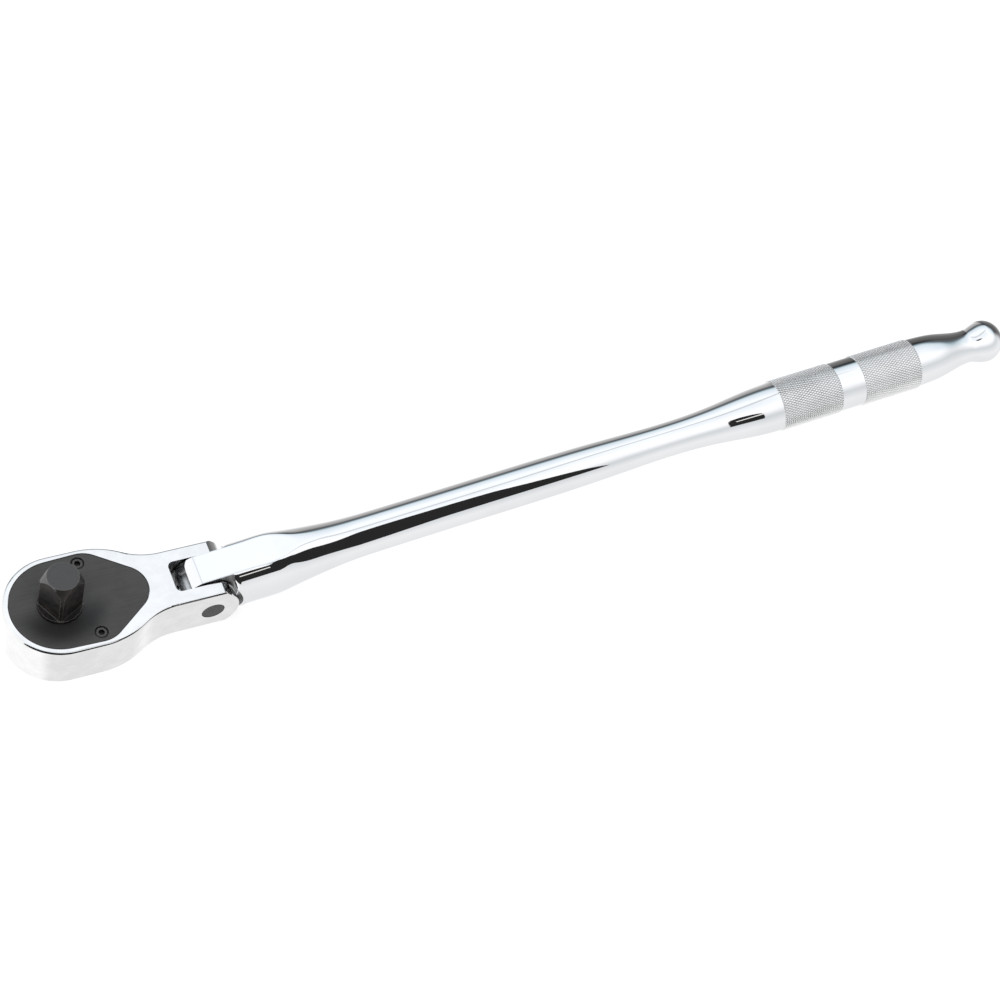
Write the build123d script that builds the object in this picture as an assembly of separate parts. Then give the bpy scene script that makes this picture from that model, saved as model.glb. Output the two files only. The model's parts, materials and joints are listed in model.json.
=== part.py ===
from build123d import *
import os
from math import cos, radians, sin, sqrt

# Flex-head ratchet wrench with a 1/2 inch square drive. Millimetres.
#
# Part frame: the origin is on the drive axis, at the outer face of the cover plate. +X runs along the handle
# to its end, +Z is up on the drive side, and +Y completes the set. The handle is level and the head is tipped
# up about the hinge pin by REST_FLEX.
# Head frame: the same origin, with +Z along the drive axis and +X towards the fork. Everything in the head is
# drawn in it, and place_in_head turns it to the part frame.
# Handle frame: the origin is at the middle of the hinge pin, with +X along the handle.

REST_FLEX = 8.1
TINY = 0.01

# Head body
HEAD_HALF_WIDTH = 21.9
HEAD_THICKNESS = 23.4
FLANK_END = 12.0
FLANK_RADIUS = 33.0
FLANK_ANGLE = 32.0
FORK_HALF_WIDTH = 12.75
EAR_RADIUS = 13.5
TOP_EDGE_BREAK = 1.1
BOTTOM_EDGE_ROUND = 1.8
OVERSHOOT = 1.0

# Hinge
PIN_X = 59.2
PIN_Z = -HEAD_THICKNESS / 2
PIN_RADIUS = 4.75
EAR_CENTRE_X = PIN_X - 2.7
SLOT_BOTTOM_X = 45.1
SLOT_HALF_WIDTH = 6.9
SLOT_CORNER = 2.4
RUNNING_CLEARANCE = 0.05
PIN_EDGE_BREAK = 0.35

# Cover plate
PLATE_THICKNESS = 3.4
PLATE_GAP = 0.14
PLATE_EDGE_BREAK = 0.25
PLATE_MAIN_RADIUS = 19.5
PLATE_CORNER = (12.0, 8.5)
PLATE_CORNER_RADIUS = 11.4
PLATE_NOSE_X = 24.6
PLATE_NOSE_RADIUS = 10.7
SCREW_AT = (11.7, 15.8)
SCREW_THREAD_RADIUS = 1.5
SCREW_HOLE_RADIUS = 1.65
SCREW_HEAD_RADIUS = 2.4
SCREW_HEAD_HEIGHT = 2.0
SCREW_HEAD_BREAK = 0.45
SCREW_LENGTH = 11.0
KEY_FLATS = 2.4
KEY_DEPTH = 1.4
COUNTERBORE_RADIUS = 2.72
COUNTERBORE_DEPTH = 2.2

# Drive
DRIVE_SQUARE = 12.7
DRIVE_CORNER_RADIUS = 8.35
DRIVE_TURN = 28.7
DRIVE_LENGTH = 21.6
DRIVE_CHAMFER_START = 17.5
DRIVE_TIP_RADIUS = 6.17
SHANK_RADIUS = 8.75
SHANK_TOP = 1.7
SHANK_HOLE_ROOM = 0.07
LEDGE_FILLET = 0.3
DRIVE_SEAL_WIRE = 0.8
DRIVE_SEAL_RADIUS = 9.95
DETENT_HEIGHT = 12.6
DETENT_BALL_RADIUS = 2.0
DETENT_BALL_PROUD = 0.75
DETENT_HOLE_RADIUS = 2.06
DETENT_HOLE_FLOOR = -3.2
DETENT_SPRING = (1.5, 0.45, 5)

# Ratchet mechanism, all inside the head
TEETH = 36
TOOTH_TIP_RADIUS = 13.6
TOOTH_ROOT_RADIUS = 12.65
TOOTH_TIP_LAND = 0.5
TOOTH_ROOT_LAND = 0.4
GEAR_TOP = -3.55
CAVITY_FLOOR = -15.0
WASHER_THICKNESS = 0.8
WASHER_INSET = 0.3
JOURNAL_RADIUS = 7.5
JOURNAL_LENGTH = 4.6
JOURNAL_END_ROOM = 0.4
AXIAL_PLAY = 0.05
CAVITY_RADIUS = 14.05
MESH_CLEARANCE = 0.1
PAWL_PIVOT_X = 19.6
PAWL_PIN_RADIUS = 2.0
PAWL_PIN_SOCKET = 4.0
PAWL_BOSS_RADIUS = 3.9
PAWL_ARM_REACH = 15.0
PAWL_ARM_ANGLE = 34.0
PAWL_ARM_RADIUS = 3.0
PAWL_ROCK = 3.5
PAWL_ROCK_ROOM = 1.15
PAWL_TOP = -3.6
PAWL_LIFT = 0.1
PAWL_BACK_X = 24.3
PAWL_BACK_ROOM = 0.12
PAWL_MIDDLE_ROOM = 0.45
THROAT_WIDTH = 9.0
SELECTOR_X = 29.3
SELECTOR_RADIUS = 4.0
SELECTOR_BARREL_RADIUS = 4.4
SELECTOR_BARREL_ROOM = 0.4
SELECTOR_TOP_ROOM = 0.2
SELECTOR_SWING = 25.0
SELECTOR_TIP_REACH = 5.5
SELECTOR_PLUNGER_RADIUS = 1.4
SELECTOR_PLUNGER_Z = -9.3
SELECTOR_PLUNGER_BACK = 1.6
SELECTOR_BORE_DEPTH = 2.6
SELECTOR_SPRING = (1.15, 0.35, 5)
SEAL_Z = -19.6
SEAL_WIRE = 0.62
SEAL_GROOVE_RADIUS = 5.3

# Thumb lever under the head
LEVER_THICKNESS = 4.0
LEVER_GAP = 0.3
LEVER_HUB_RADIUS = 6.0
LEVER_REACH = 19.5
LEVER_TIP_RADIUS = 3.6
LEVER_ROUND = 1.2
LEVER_GROOVES = 3
LEVER_GROOVE_PITCH = 2.2
LEVER_GROOVE_RADIUS = 0.6
LEVER_SQUARE = 5.4
LEVER_SQUARE_DEPTH = 2.8
LEVER_SQUARE_ROOM = 0.03
LEVER_SCREW_RADIUS = 1.25
LEVER_SCREW_REACH = 9.0
LEVER_SCREW_CONE = (2.85, 1.5, 1.2)
LEVER_SINK_CONE = (3.0, 1.6, 1.4)
LEVER_SINK_DEPTH = 0.2
LEVER_TOP = -HEAD_THICKNESS - LEVER_GAP

# Flex friction plunger, between the head and the tongue
PLUNGER_RADIUS = 2.5
PLUNGER_BACK_X = 40.2
PLUNGER_BORE_X = 36.2
PLUNGER_TIP_GAP = 0.06
FRICTION_SPRING = (2.2, 0.6, 3)

# Handle, measured from the hinge pin
TONGUE_LENGTH = 25.0
TONGUE_HALF_WIDTH = 6.3
TONGUE_HALF_HEIGHT = 13.0
TONGUE_END_RADIUS = 13.6
TONGUE_END_CENTRE_X = 2.1
TONGUE_SWEEP_RADIUS = 13.15
SHOULDER_X = 11.0
SCALLOP_RADIUS = 12.9
NECK_SECTIONS = [(8.0, 12.5, 15.2), (20.0, 12.5, 15.2), (30.0, 12.4, 14.9), (37.0, 11.6, 13.0),
                 (46.0, 10.5, 11.2), (55.0, 9.65, 9.85), (64.0, 8.95, 8.95)]
FACET_BEND_X = 30.0
FACET_END = (66.0, 8.7)
SHANK_FRONT_X = 64.0
SHANK_FRONT_RADIUS = 8.95
SHANK_MID_X = 110.0
SHANK_MID_RADIUS = 8.85
SHANK_SLIM_X = 175.0
SHANK_SLIM_RADIUS = 8.35
SWELL_START_X = 226.0
SWELL_MID = (241.5, 10.0)
GRIP_START_X = 257.3
GRIP_RADIUS = 10.97
GRIP_END_RADIUS = 10.9
BAND_1_END_X = 285.7
BAND_2_START_X = 297.0
BAND_2_END_X = 324.7
KNURL_RADIUS = 10.85
TAIL_MID = (338.5, 9.8)
TAIL_NECK = (353.0, 7.4)
KNOB_RISE = (357.0, 8.45)
KNOB_TOP = (361.8, 9.4)
KNOB_FALL = (366.9, 7.5)
HANDLE_END_X = 370.5


def rod(radius, low, high, at=(0, 0)):
    """A cylinder along Z between two heights."""
    return Pos(at[0], at[1], (low + high) / 2) * Cylinder(radius, high - low)


def cross_rod(radius, length, x, z):
    """A cylinder along Y, centred on the middle plane."""
    return Pos(x, 0, z) * Rot(90, 0, 0) * Cylinder(radius, length)


def along_x(radius, low, high, z):
    """A cylinder along X between two places."""
    return Pos((low + high) / 2, 0, z) * Rot(0, 90, 0) * Cylinder(radius, high - low)


def cone_up(size, low):
    """A cone standing at a height. The size is its lower radius, upper radius and length."""
    return Pos(0, 0, low + size[2] / 2) * Cone(*size)


def slab(outline, low, high):
    """A flat outline given thickness between two heights."""
    return extrude(Pos(0, 0, low) * outline, amount=high - low)


def hull_of(circles):
    """The tangent outline round circles given as (x, y, radius)."""
    rims = [Pos(x, y) * Circle(radius) for x, y, radius in circles]
    return make_hull([edge for rim in rims for edge in rim.edges()])


def place_in_head(shape):
    """Turns a shape from the head frame to the part frame."""
    return Rot(0, REST_FLEX, 0) * shape


def place_in_handle(shape):
    """Moves a shape from the handle frame to the part frame."""
    tilt = radians(REST_FLEX)
    return Pos(PIN_X * cos(tilt) + PIN_Z * sin(tilt), 0, PIN_Z * cos(tilt) - PIN_X * sin(tilt)) * shape


def both_sides(shape):
    """A shape and its mirror image across the middle plane."""
    return shape + mirror(shape, about=Plane.XZ)


def coil_spring(size, length):
    """A coil spring standing on the XY plane, along +Z. The size is its radius, wire and turns."""
    radius, wire, turns = size
    path = Helix(pitch=(length - wire) / turns, height=length - wire, radius=radius - wire / 2)
    section = Plane(path @ 0, z_dir=path % 0) * Circle(wire / 2)
    return Pos(0, 0, wire / 2) * sweep(section, path=path)


# ---------------------------------------------------------------- outlines


def head_outline():
    """Pear outline: round nose, straight flanks, then an S-curve down to the fork."""
    sweep_angle = radians(FLANK_ANGLE)
    drop = HEAD_HALF_WIDTH - FORK_HALF_WIDTH
    hollow_radius = drop / (1 - cos(sweep_angle)) - FLANK_RADIUS
    flank = (FLANK_END, HEAD_HALF_WIDTH)
    turn = (FLANK_END + FLANK_RADIUS * sin(sweep_angle),
            HEAD_HALF_WIDTH - FLANK_RADIUS * (1 - cos(sweep_angle)))
    fork = (turn[0] + hollow_radius * sin(sweep_angle), FORK_HALF_WIDTH)
    tip_x = EAR_CENTRE_X + EAR_RADIUS + 1
    upper = (Line((0, HEAD_HALF_WIDTH), flank)
             + TangentArc(flank, turn, tangent=(1, 0))
             + TangentArc(turn, fork, tangent=(cos(sweep_angle), -sin(sweep_angle)))
             + Line(fork, (tip_x, FORK_HALF_WIDTH)))
    nose = CenterArc((0, 0), HEAD_HALF_WIDTH, 90, 180)
    end = Line((tip_x, FORK_HALF_WIDTH), (tip_x, -FORK_HALF_WIDTH))
    return make_face(nose + upper + mirror(upper, about=Plane.XZ) + end)


def plate_outline(growth=0.0):
    """Hull of the round part, the two screw corners and the nose that points at the fork."""
    x, y = PLATE_CORNER
    return hull_of([(0, 0, PLATE_MAIN_RADIUS + growth),
                    (x, y, PLATE_CORNER_RADIUS + growth),
                    (x, -y, PLATE_CORNER_RADIUS + growth),
                    (PLATE_NOSE_X, 0, PLATE_NOSE_RADIUS + growth)])


def gear_outline(growth=0.0):
    """V teeth with flanks near 45 degrees, so that a pawl can rock straight out of mesh."""
    pitch = 360 / TEETH
    corners = [(TOOTH_TIP_RADIUS, -TOOTH_TIP_LAND),
               (TOOTH_TIP_RADIUS, TOOTH_TIP_LAND),
               (TOOTH_ROOT_RADIUS, pitch / 2 - TOOTH_ROOT_LAND),
               (TOOTH_ROOT_RADIUS, pitch / 2 + TOOTH_ROOT_LAND)]
    points = []
    for tooth in range(TEETH):
        for radius, angle in corners:
            turn = radians(tooth * pitch + angle)
            points.append(((radius + growth) * cos(turn), (radius + growth) * sin(turn)))
    return make_face(Polyline(points, close=True))


def pawl_outline(growth=0.0):
    """Two arms that reach round the gear, and a boss for the pivot pin."""
    arm_x = PAWL_ARM_REACH * cos(radians(PAWL_ARM_ANGLE))
    arm_y = PAWL_ARM_REACH * sin(radians(PAWL_ARM_ANGLE))
    return hull_of([(arm_x, arm_y, PAWL_ARM_RADIUS + growth),
                    (arm_x, -arm_y, PAWL_ARM_RADIUS + growth),
                    (PAWL_PIVOT_X, 0, PAWL_BOSS_RADIUS + growth)])


def mechanism_pocket():
    """The opening under the cover plate, round the gear, the pawl and the selector barrel."""
    barrel = Pos(SELECTOR_X, 0) * Circle(SELECTOR_BARREL_RADIUS + SELECTOR_BARREL_ROOM)
    throat = Pos((PAWL_PIVOT_X + SELECTOR_X) / 2, 0) * Rectangle(SELECTOR_X - PAWL_PIVOT_X, THROAT_WIDTH)
    return Circle(CAVITY_RADIUS) + pawl_outline(PAWL_ROCK_ROOM) + barrel + throat


# ---------------------------------------------------------------- head


def head_blank():
    """The pear-shaped block, with round ears about the hinge pin and its rims eased."""
    reach = 2 * EAR_CENTRE_X
    tall = 2 * HEAD_THICKNESS
    ear_round = cross_rod(EAR_RADIUS, reach, EAR_CENTRE_X, PIN_Z)
    front = Pos(0, 0, PIN_Z) * Box(reach, reach, tall)
    blank = slab(head_outline(), -HEAD_THICKNESS, 0) & (front + ear_round)
    top = [edge for edge in blank.edges() if edge.bounding_box().min.Z > -TINY]
    blank = fillet(top, TOP_EDGE_BREAK)
    bottom = [edge for edge in blank.edges() if edge.bounding_box().max.Z < TINY - HEAD_THICKNESS]
    return fillet(bottom, BOTTOM_EDGE_ROUND)


def head_body():
    slot_length = 2 * (EAR_CENTRE_X + EAR_RADIUS - SLOT_BOTTOM_X)
    slot = RectangleRounded(slot_length, 2 * SLOT_HALF_WIDTH, SLOT_CORNER)
    slot = Pos(SLOT_BOTTOM_X + slot_length / 2, 0) * slot
    under = -HEAD_THICKNESS - OVERSHOOT
    journal_low = CAVITY_FLOOR - JOURNAL_LENGTH - JOURNAL_END_ROOM
    body = head_blank()
    body -= slab(slot, under, OVERSHOOT)
    body -= cross_rod(PIN_RADIUS, 2 * (FORK_HALF_WIDTH + OVERSHOOT), PIN_X, PIN_Z)
    body -= slab(plate_outline(PLATE_GAP), -PLATE_THICKNESS, OVERSHOOT)
    body -= slab(mechanism_pocket(), CAVITY_FLOOR, 0)
    body -= rod(JOURNAL_RADIUS + RUNNING_CLEARANCE, journal_low, 0)
    body -= both_sides(rod(SCREW_THREAD_RADIUS, -SCREW_LENGTH - OVERSHOOT, 0, SCREW_AT))
    body -= rod(PAWL_PIN_RADIUS, CAVITY_FLOOR - PAWL_PIN_SOCKET, 0, (PAWL_PIVOT_X, 0))
    body -= rod(SELECTOR_RADIUS + RUNNING_CLEARANCE, under, 0, (SELECTOR_X, 0))
    body -= rod(SEAL_GROOVE_RADIUS, SEAL_Z - SEAL_WIRE, SEAL_Z + SEAL_WIRE, (SELECTOR_X, 0))
    body -= along_x(PLUNGER_RADIUS + RUNNING_CLEARANCE, PLUNGER_BORE_X, SLOT_BOTTOM_X + OVERSHOOT, PIN_Z)
    return body


def cover_plate():
    under = -PLATE_THICKNESS - OVERSHOOT
    seal_top = 2 * DRIVE_SEAL_WIRE - PLATE_THICKNESS
    plate = slab(plate_outline(), -PLATE_THICKNESS, 0)
    plate = chamfer([edge for edge in plate.edges() if edge.bounding_box().min.Z > -TINY], PLATE_EDGE_BREAK)
    plate -= rod(SHANK_RADIUS + SHANK_HOLE_ROOM, under, OVERSHOOT)
    plate -= rod(DRIVE_SEAL_RADIUS + DRIVE_SEAL_WIRE, under, seal_top)
    plate -= both_sides(rod(SCREW_HOLE_RADIUS, under, OVERSHOOT, SCREW_AT))
    plate -= both_sides(rod(COUNTERBORE_RADIUS, -COUNTERBORE_DEPTH, OVERSHOOT, SCREW_AT))
    return plate


def hex_key(low, high):
    """The hexagon socket that all three screws share."""
    return slab(RegularPolygon(KEY_FLATS / sqrt(3), 6), low, high)


def cover_screws():
    top = SCREW_HEAD_HEIGHT - COUNTERBORE_DEPTH
    head = rod(SCREW_HEAD_RADIUS, -COUNTERBORE_DEPTH, top)
    head = chamfer(head.edges().group_by(Axis.Z)[-1], SCREW_HEAD_BREAK)
    screw = head - hex_key(top - KEY_DEPTH, top + OVERSHOOT)
    screw += rod(SCREW_THREAD_RADIUS, -SCREW_LENGTH, -COUNTERBORE_DEPTH)
    x, y = SCREW_AT
    return Compound([Pos(x, y) * screw, Pos(x, -y) * screw])


def hinge_pin():
    pin = cross_rod(PIN_RADIUS, 2 * (FORK_HALF_WIDTH - RUNNING_CLEARANCE), PIN_X, PIN_Z)
    return chamfer(pin.edges().filter_by(GeomType.CIRCLE), PIN_EDGE_BREAK)


def drive_detent_axis(shape):
    """Turns a shape drawn along +X at the ball's height to the flat that holds the ball."""
    return Rot(0, 0, DRIVE_TURN + 90) * Pos(0, 0, DETENT_HEIGHT) * shape


def drive_square():
    """The square, with its corners turned round and its end coned in."""
    nose_length = DRIVE_LENGTH - DRIVE_CHAMFER_START
    square = slab(Rot(0, 0, DRIVE_TURN) * Rectangle(DRIVE_SQUARE, DRIVE_SQUARE), 0, DRIVE_LENGTH)
    corners = rod(DRIVE_CORNER_RADIUS, 0, DRIVE_CHAMFER_START)
    nose = cone_up((DRIVE_CORNER_RADIUS, DRIVE_TIP_RADIUS, nose_length), DRIVE_CHAMFER_START)
    return square & (corners + nose)


def drive_gear():
    """Square drive, shank, ratchet teeth and lower journal in one piece."""
    gear_low = CAVITY_FLOOR + WASHER_THICKNESS + AXIAL_PLAY
    drive = drive_square() + rod(SHANK_RADIUS, GEAR_TOP - OVERSHOOT, SHANK_TOP)
    ledge_lines = [edge for edge in drive.edges().filter_by(GeomType.LINE)
                   if abs(edge.bounding_box().min.Z - SHANK_TOP) < TINY
                   and abs(edge.bounding_box().max.Z - SHANK_TOP) < TINY]
    drive = fillet(ledge_lines, LEDGE_FILLET)
    drive += slab(gear_outline(), gear_low, GEAR_TOP)
    drive += rod(JOURNAL_RADIUS, CAVITY_FLOOR - JOURNAL_LENGTH, gear_low)
    hole = along_x(DETENT_HOLE_RADIUS, DETENT_HOLE_FLOOR, DRIVE_SQUARE, 0)
    return drive - drive_detent_axis(hole)


def drive_detent_ball():
    centre = DRIVE_SQUARE / 2 + DETENT_BALL_PROUD - DETENT_BALL_RADIUS
    return drive_detent_axis(Pos(centre, 0, 0) * Sphere(DETENT_BALL_RADIUS))


def drive_detent_spring():
    reach = DRIVE_SQUARE / 2 + DETENT_BALL_PROUD - 2 * DETENT_BALL_RADIUS - DETENT_HOLE_FLOOR
    spring = coil_spring(DETENT_SPRING, reach)
    return drive_detent_axis(Pos(DETENT_HOLE_FLOOR, 0, 0) * Rot(0, 90, 0) * spring)


def seal_ring(radius, wire, z, at=(0, 0)):
    return Pos(at[0], at[1], z) * Torus(radius, wire)


def drive_seal():
    return seal_ring(DRIVE_SEAL_RADIUS, DRIVE_SEAL_WIRE, DRIVE_SEAL_WIRE - PLATE_THICKNESS)


def thrust_washer():
    washer = rod(TOOTH_ROOT_RADIUS - WASHER_INSET, CAVITY_FLOOR, CAVITY_FLOOR + WASHER_THICKNESS)
    return washer - rod(JOURNAL_RADIUS + WASHER_INSET, CAVITY_FLOOR - OVERSHOOT, 0)


# ---------------------------------------------------------------- pawl and selector


def rock(shape, angle):
    """Turns a shape about the pawl's pivot."""
    return Pos(PAWL_PIVOT_X, 0) * Rot(0, 0, angle) * Pos(-PAWL_PIVOT_X, 0) * shape


def pawl():
    """One rocking pawl with teeth at both ends, drawn with its +Y end in mesh."""
    gear = slab(gear_outline(MESH_CLEARANCE), CAVITY_FLOOR, 0)
    middle = Pos(TOOTH_TIP_RADIUS, 0, CAVITY_FLOOR / 2) * Box(THROAT_WIDTH, THROAT_WIDTH, -CAVITY_FLOOR)
    clear_middle = rod(TOOTH_TIP_RADIUS + PAWL_MIDDLE_ROOM, CAVITY_FLOOR, 0) & middle
    barrel_room = rod(SELECTOR_TIP_REACH + PAWL_BACK_ROOM, CAVITY_FLOOR, 0, (SELECTOR_X, 0))
    tail = Rectangle(PAWL_BACK_X - PAWL_PIVOT_X, 2 * PAWL_BOSS_RADIUS)
    tail = Pos((PAWL_PIVOT_X + PAWL_BACK_X) / 2, 0) * tail
    body = slab(pawl_outline() + tail, CAVITY_FLOOR + PAWL_LIFT, PAWL_TOP) - clear_middle
    for side in (PAWL_ROCK, -PAWL_ROCK):
        body = rock(body, side) - gear - barrel_room
        body = rock(body, -side)
    body -= rod(PAWL_PIN_RADIUS + RUNNING_CLEARANCE, CAVITY_FLOOR, 0, (PAWL_PIVOT_X, 0))
    return rock(body, PAWL_ROCK)


def pawl_pin():
    return rod(PAWL_PIN_RADIUS, CAVITY_FLOOR - PAWL_PIN_SOCKET, -PLATE_THICKNESS, (PAWL_PIVOT_X, 0))


def turn_selector(shape):
    """Turns a shape drawn about Z, with its front along -X, to the selector's rest position."""
    return Pos(SELECTOR_X, 0) * Rot(0, 0, -SELECTOR_SWING) * shape


def lever_square(size, depth):
    """The square on the end of the selector shaft that carries the thumb lever."""
    return Pos(0, 0, LEVER_TOP - depth / 2) * Box(size, size, depth)


def selector_shaft():
    screw_top = LEVER_TOP + LEVER_SCREW_REACH - LEVER_SQUARE_DEPTH
    shaft = rod(SELECTOR_BARREL_RADIUS, CAVITY_FLOOR + PAWL_LIFT, -PLATE_THICKNESS - SELECTOR_TOP_ROOM)
    shaft += rod(SELECTOR_RADIUS, LEVER_TOP, CAVITY_FLOOR + PAWL_LIFT)
    shaft += lever_square(LEVER_SQUARE, LEVER_SQUARE_DEPTH)
    bore_radius = SELECTOR_PLUNGER_RADIUS + RUNNING_CLEARANCE
    bore = along_x(bore_radius, -2 * SELECTOR_BARREL_RADIUS, SELECTOR_BORE_DEPTH, 0)
    shaft -= Pos(0, 0, SELECTOR_PLUNGER_Z) * bore
    shaft -= rod(LEVER_SCREW_RADIUS, LEVER_TOP - LEVER_THICKNESS, screw_top)
    return turn_selector(shaft)


def selector_plunger():
    dome_x = SELECTOR_PLUNGER_RADIUS - SELECTOR_TIP_REACH
    body = along_x(SELECTOR_PLUNGER_RADIUS, dome_x, -SELECTOR_PLUNGER_BACK, 0)
    plunger = body + Pos(dome_x, 0, 0) * Sphere(SELECTOR_PLUNGER_RADIUS)
    return turn_selector(Pos(0, 0, SELECTOR_PLUNGER_Z) * plunger)


def selector_spring():
    spring = Rot(0, 90, 0) * coil_spring(SELECTOR_SPRING, SELECTOR_PLUNGER_BACK + SELECTOR_BORE_DEPTH)
    return turn_selector(Pos(-SELECTOR_PLUNGER_BACK, 0, SELECTOR_PLUNGER_Z) * spring)


def selector_seal():
    return seal_ring(SEAL_GROOVE_RADIUS - SEAL_WIRE, SEAL_WIRE, SEAL_Z, (SELECTOR_X, 0))


def selector_lever():
    """Thumb lever on the back of the head, with grooves across its tip."""
    low = LEVER_TOP - LEVER_THICKNESS
    outline = hull_of([(0, 0, LEVER_HUB_RADIUS), (-LEVER_REACH, 0, LEVER_TIP_RADIUS)])
    lever = slab(outline, low, LEVER_TOP)
    lever = fillet(lever.edges().group_by(Axis.Z)[0], LEVER_ROUND)
    lever -= lever_square(LEVER_SQUARE + 2 * LEVER_SQUARE_ROOM, LEVER_SQUARE_DEPTH + LEVER_SQUARE_ROOM)
    lever -= rod(LEVER_SINK_CONE[1], low, LEVER_TOP)
    lever -= cone_up(LEVER_SINK_CONE, low - LEVER_SINK_DEPTH)
    for groove in range(LEVER_GROOVES):
        x = LEVER_GROOVE_PITCH * groove - LEVER_REACH - OVERSHOOT
        lever -= cross_rod(LEVER_GROOVE_RADIUS, 4 * LEVER_TIP_RADIUS, x, low)
    return turn_selector(lever)


def lever_screw():
    low = LEVER_TOP - LEVER_THICKNESS
    screw = cone_up(LEVER_SCREW_CONE, low - RUNNING_CLEARANCE)
    screw += rod(LEVER_SCREW_RADIUS, low + OVERSHOOT, low + LEVER_SCREW_REACH)
    screw -= hex_key(low - OVERSHOOT, low + OVERSHOOT)
    return turn_selector(screw)


# ---------------------------------------------------------------- flex friction


def friction_plunger():
    dome_x = PIN_X - TONGUE_SWEEP_RADIUS - PLUNGER_TIP_GAP - PLUNGER_RADIUS
    dome = Pos(dome_x, 0, PIN_Z) * Sphere(PLUNGER_RADIUS)
    return along_x(PLUNGER_RADIUS, PLUNGER_BACK_X, dome_x, PIN_Z) + dome


def friction_spring():
    spring = coil_spring(FRICTION_SPRING, PLUNGER_BACK_X - PLUNGER_BORE_X)
    return Pos(PLUNGER_BORE_X, 0, PIN_Z) * Rot(0, 90, 0) * spring


# ---------------------------------------------------------------- handle


def tongue():
    """The flat blade between the ears, its end rounded from a crease on each flat."""
    width = 2 * TONGUE_HALF_WIDTH
    block = Pos(TONGUE_LENGTH / 2, 0, 0) * Box(TONGUE_LENGTH, width, 2 * TONGUE_HALF_HEIGHT)
    flats = Box(2 * TONGUE_LENGTH, width, 2 * TONGUE_HALF_HEIGHT)
    return (block + cross_rod(TONGUE_END_RADIUS, width, TONGUE_END_CENTRE_X, 0)) & flats


def neck():
    """Oval just behind the fork, running down to the round shank, with a flat facet above and below."""
    sections = [Plane(origin=(x, 0, 0), x_dir=(0, 1, 0), z_dir=(1, 0, 0)) * Ellipse(wide, high)
                for x, wide, high in NECK_SECTIONS]
    body = loft(sections)
    end_x, end_z = FACET_END
    clear = 2 * TONGUE_HALF_HEIGHT
    above = Polyline((0, clear), (0, TONGUE_HALF_HEIGHT), (FACET_BEND_X, TONGUE_HALF_HEIGHT), (end_x, end_z),
                     (end_x, clear), close=True)
    cutter = extrude(Plane.XZ * make_face(above), amount=clear, both=True)
    body -= cutter
    return body - mirror(cutter, about=Plane.XY)


def shank_profile():
    """Half outline of the round part of the handle, from the neck to the knob."""
    end_x = HANDLE_END_X
    edges = Line((SHANK_FRONT_X, 0), (SHANK_FRONT_X, SHANK_FRONT_RADIUS))
    edges += Spline((SHANK_FRONT_X, SHANK_FRONT_RADIUS), (SHANK_MID_X, SHANK_MID_RADIUS),
                    (SHANK_SLIM_X, SHANK_SLIM_RADIUS), (SWELL_START_X, SHANK_SLIM_RADIUS), SWELL_MID,
                    (GRIP_START_X, GRIP_RADIUS), tangents=((1, -0.02), (1, 0.0)))
    edges += Polyline((GRIP_START_X, GRIP_RADIUS), (GRIP_START_X, KNURL_RADIUS),
                      (BAND_1_END_X, KNURL_RADIUS), (BAND_1_END_X, GRIP_RADIUS),
                      (BAND_2_START_X, GRIP_RADIUS), (BAND_2_START_X, KNURL_RADIUS),
                      (BAND_2_END_X, KNURL_RADIUS), (BAND_2_END_X, GRIP_END_RADIUS))
    edges += Spline((BAND_2_END_X, GRIP_END_RADIUS), TAIL_MID, TAIL_NECK, tangents=((1, -0.05), (1, 0)))
    edges += Spline(TAIL_NECK, KNOB_RISE, KNOB_TOP, tangents=((1, 0), (1, 0)))
    edges += Spline(KNOB_TOP, KNOB_FALL, (end_x, 0), tangents=((1, 0), (0, -1)))
    edges += Line((end_x, 0), (SHANK_FRONT_X, 0))
    return make_face(Plane.XZ * edges)


def handle():
    body = neck() + revolve(shank_profile(), axis=Axis.X)
    clear = 4 * TONGUE_HALF_HEIGHT
    body -= Pos(SHOULDER_X - clear / 2, 0, 0) * Box(clear, clear, clear)
    body -= cross_rod(SCALLOP_RADIUS, clear, 0, 0)
    body += tongue()
    return body - cross_rod(PIN_RADIUS + RUNNING_CLEARANCE, clear, 0, 0)


HEAD_PARTS = [head_body, cover_plate, cover_screws, hinge_pin,
              drive_gear, drive_detent_ball, drive_detent_spring, drive_seal, thrust_washer,
              pawl, pawl_pin, selector_shaft, selector_plunger, selector_spring, selector_seal,
              selector_lever, lever_screw, friction_plunger, friction_spring]

os.makedirs("parts", exist_ok=True)
for build in HEAD_PARTS:
    export_step(place_in_head(build()), f"parts/{build.__name__}.step")
export_step(place_in_handle(handle()), "parts/handle.step")
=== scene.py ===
import bpy
import json
import math
from mathutils import Matrix, Vector

import bmesh
import numpy as np


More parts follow.
